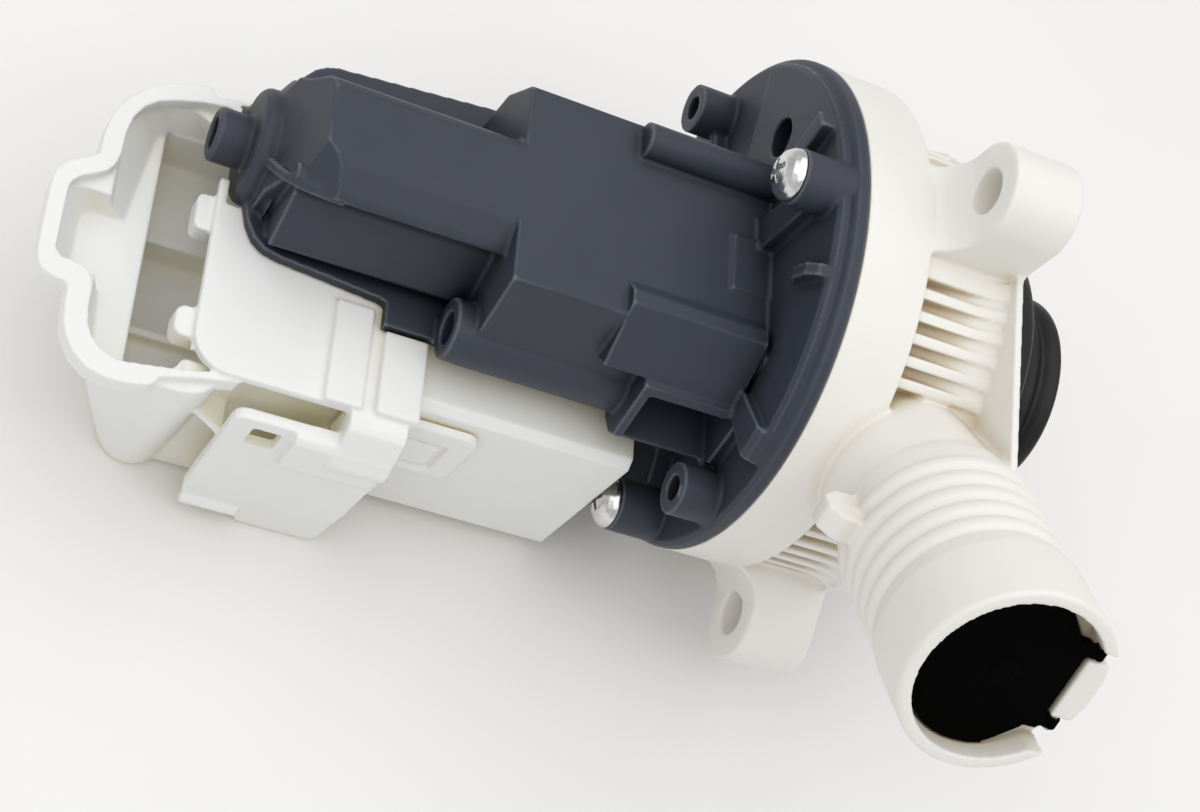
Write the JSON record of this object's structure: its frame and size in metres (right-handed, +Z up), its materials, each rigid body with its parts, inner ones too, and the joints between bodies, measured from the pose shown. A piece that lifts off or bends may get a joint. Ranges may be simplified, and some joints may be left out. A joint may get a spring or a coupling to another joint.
{
  "type": "washer drain pump",
  "caption": "Washer drain pump: wet-rotor motor on a ribbed volute with mounting ears, stepped rubber inlet sleeve, slanted ringed outlet with a flap valve, and a side connector shroud.",
  "frame": {"origin": "centre of the circle through the three mounting holes, on the front faces of the ears and plate", "axes": "+X along the motor axis towards the inlet, -Y towards the side the outlet leaves, +Z up with one ear at the top"},
  "size_m": [0.1907, 0.1545, 0.1147],
  "materials": {
    "grey_housing": "fine satin moulded",
    "ivory_housing": "satin moulded, slightly translucent",
    "white_plastic": "satin moulded",
    "black_rubber": "soft sheen",
    "steel": "ground",
    "zinc_steel": "bright zinc plated",
    "impeller_plastic": "satin moulded",
    "dark_plastic": "matt moulded",
    "ferrite": "fired, matt",
    "bearing_carbon": "lapped",
    "lamination": "stamped stack",
    "bobbin_plastic": "moulded",
    "copper": "enamelled wire",
    "tinned_brass": "tin plated"
  },
  "bodies": {
    "base": {"motor_housing": "grey_housing", "pump_housing": "ivory_housing", "inlet_sleeve": "black_rubber", "flap_pin": "steel", "rear_bearing": "bearing_carbon", "rear_bearing_rubber": "black_rubber", "front_bearing": "bearing_carbon", "front_bearing_rubber": "black_rubber", "bearing_plate": "impeller_plastic", "chamber_oring": "black_rubber", "housing_screws": "zinc_steel", "stator_core": "lamination", "coil_bobbins": "bobbin_plastic", "coil_windings": "copper", "coil_terminals": "tinned_brass", "coil_box": "white_plastic", "terminal_cover": "white_plastic"},
    "rotor": {"rotor_shaft": "steel", "rotor_carrier": "dark_plastic", "rotor_magnet": "ferrite", "drive_dog": "dark_plastic", "thrust_washers": "dark_plastic"},
    "impeller_body": {"impeller": "impeller_plastic"},
    "flap": {"outlet_flap": "black_rubber"}
  },
  "joints": [
    {"name": "rotor_spin", "type": "hinge", "parent": "base", "child": "rotor", "pos_m": [0, 0, 0], "axis": [1, 0, 0], "continuous": true},
    {"name": "impeller_play", "type": "hinge", "parent": "rotor", "child": "impeller_body", "pos_m": [0, 0, 0], "axis": [1, 0, 0], "range_deg": [-124, 124]},
    {"name": "flap_hinge", "type": "hinge", "parent": "base", "child": "flap", "pos_m": [0.0068, -0.08409, 0.04855], "axis": [0, 0.5, 0.866], "range_deg": [0, 75]}
  ]
}
